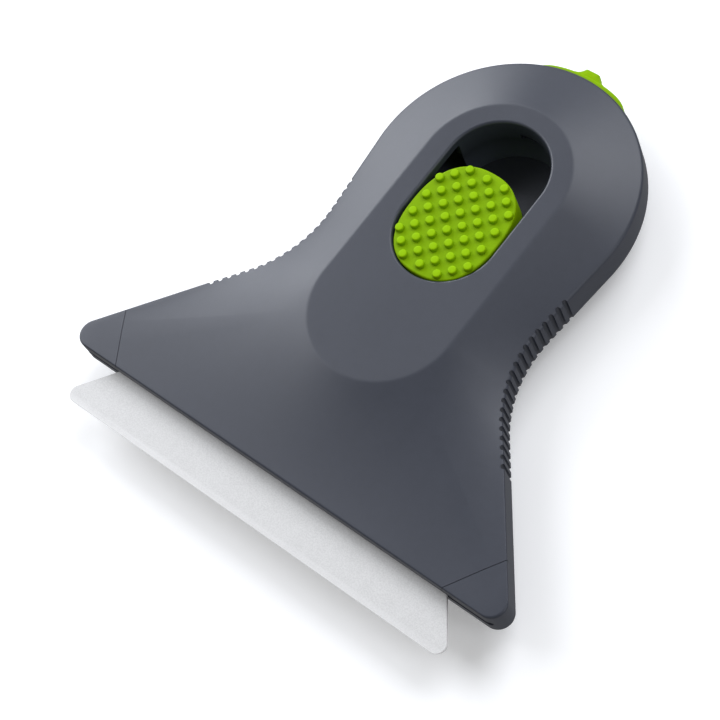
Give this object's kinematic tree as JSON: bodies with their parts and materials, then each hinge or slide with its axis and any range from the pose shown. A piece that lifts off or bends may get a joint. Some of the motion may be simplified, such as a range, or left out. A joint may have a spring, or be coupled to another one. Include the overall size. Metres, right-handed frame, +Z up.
{
  "type": "ceramic hob scraper",
  "caption": "Hob scraper with a retractable white ceramic blade, a flared grey housing with a ribbed waist, a studded lime green thumb slider and a lime green cover catch.",
  "frame": {"origin": "middle of the flat oval on the underside, on which the tool rests", "axes": "+Z up through the thumb button, +Y from the blade towards the rounded head, X across the blade"},
  "size_m": [0.0942, 0.0975, 0.0138],
  "materials": {
    "housing_grey": "fine satin texture",
    "lime_green": "satin",
    "blade_ceramic": "matt, finely speckled",
    "slider_black": "satin",
    "guide_white": "satin",
    "sheet_steel": "rolled",
    "screw_steel": "zinc plated"
  },
  "bodies": {
    "housing": {"top_cover": "housing_grey", "lower_housing": "housing_grey", "guide_left": "guide_white", "guide_right": "guide_white", "guide_screws": "screw_steel", "detent_spring": "sheet_steel", "detent_screw": "screw_steel", "catch_springs": "screw_steel"},
    "carrier": {"blade_carrier": "sheet_steel", "locating_pins": "screw_steel", "blade": "blade_ceramic", "blade_clamp": "sheet_steel", "slider_block": "slider_black", "carrier_screws": "screw_steel", "thumb_button": "lime_green"},
    "catch": {"cover_catch": "lime_green"}
  },
  "joints": [
    {"name": "blade_slide", "type": "slide", "parent": "housing", "child": "carrier", "axis": [0, 1, 0], "range_m": [0, 0.0092], "deforming": ["detent_spring"]},
    {"name": "catch_press", "type": "slide", "parent": "housing", "child": "catch", "axis": [0, -1, 0], "range_m": [0, 0.0012], "stiffness_N_per_m": 3000, "springref_m": -0.001, "deforming": ["catch_springs"]}
  ]
}
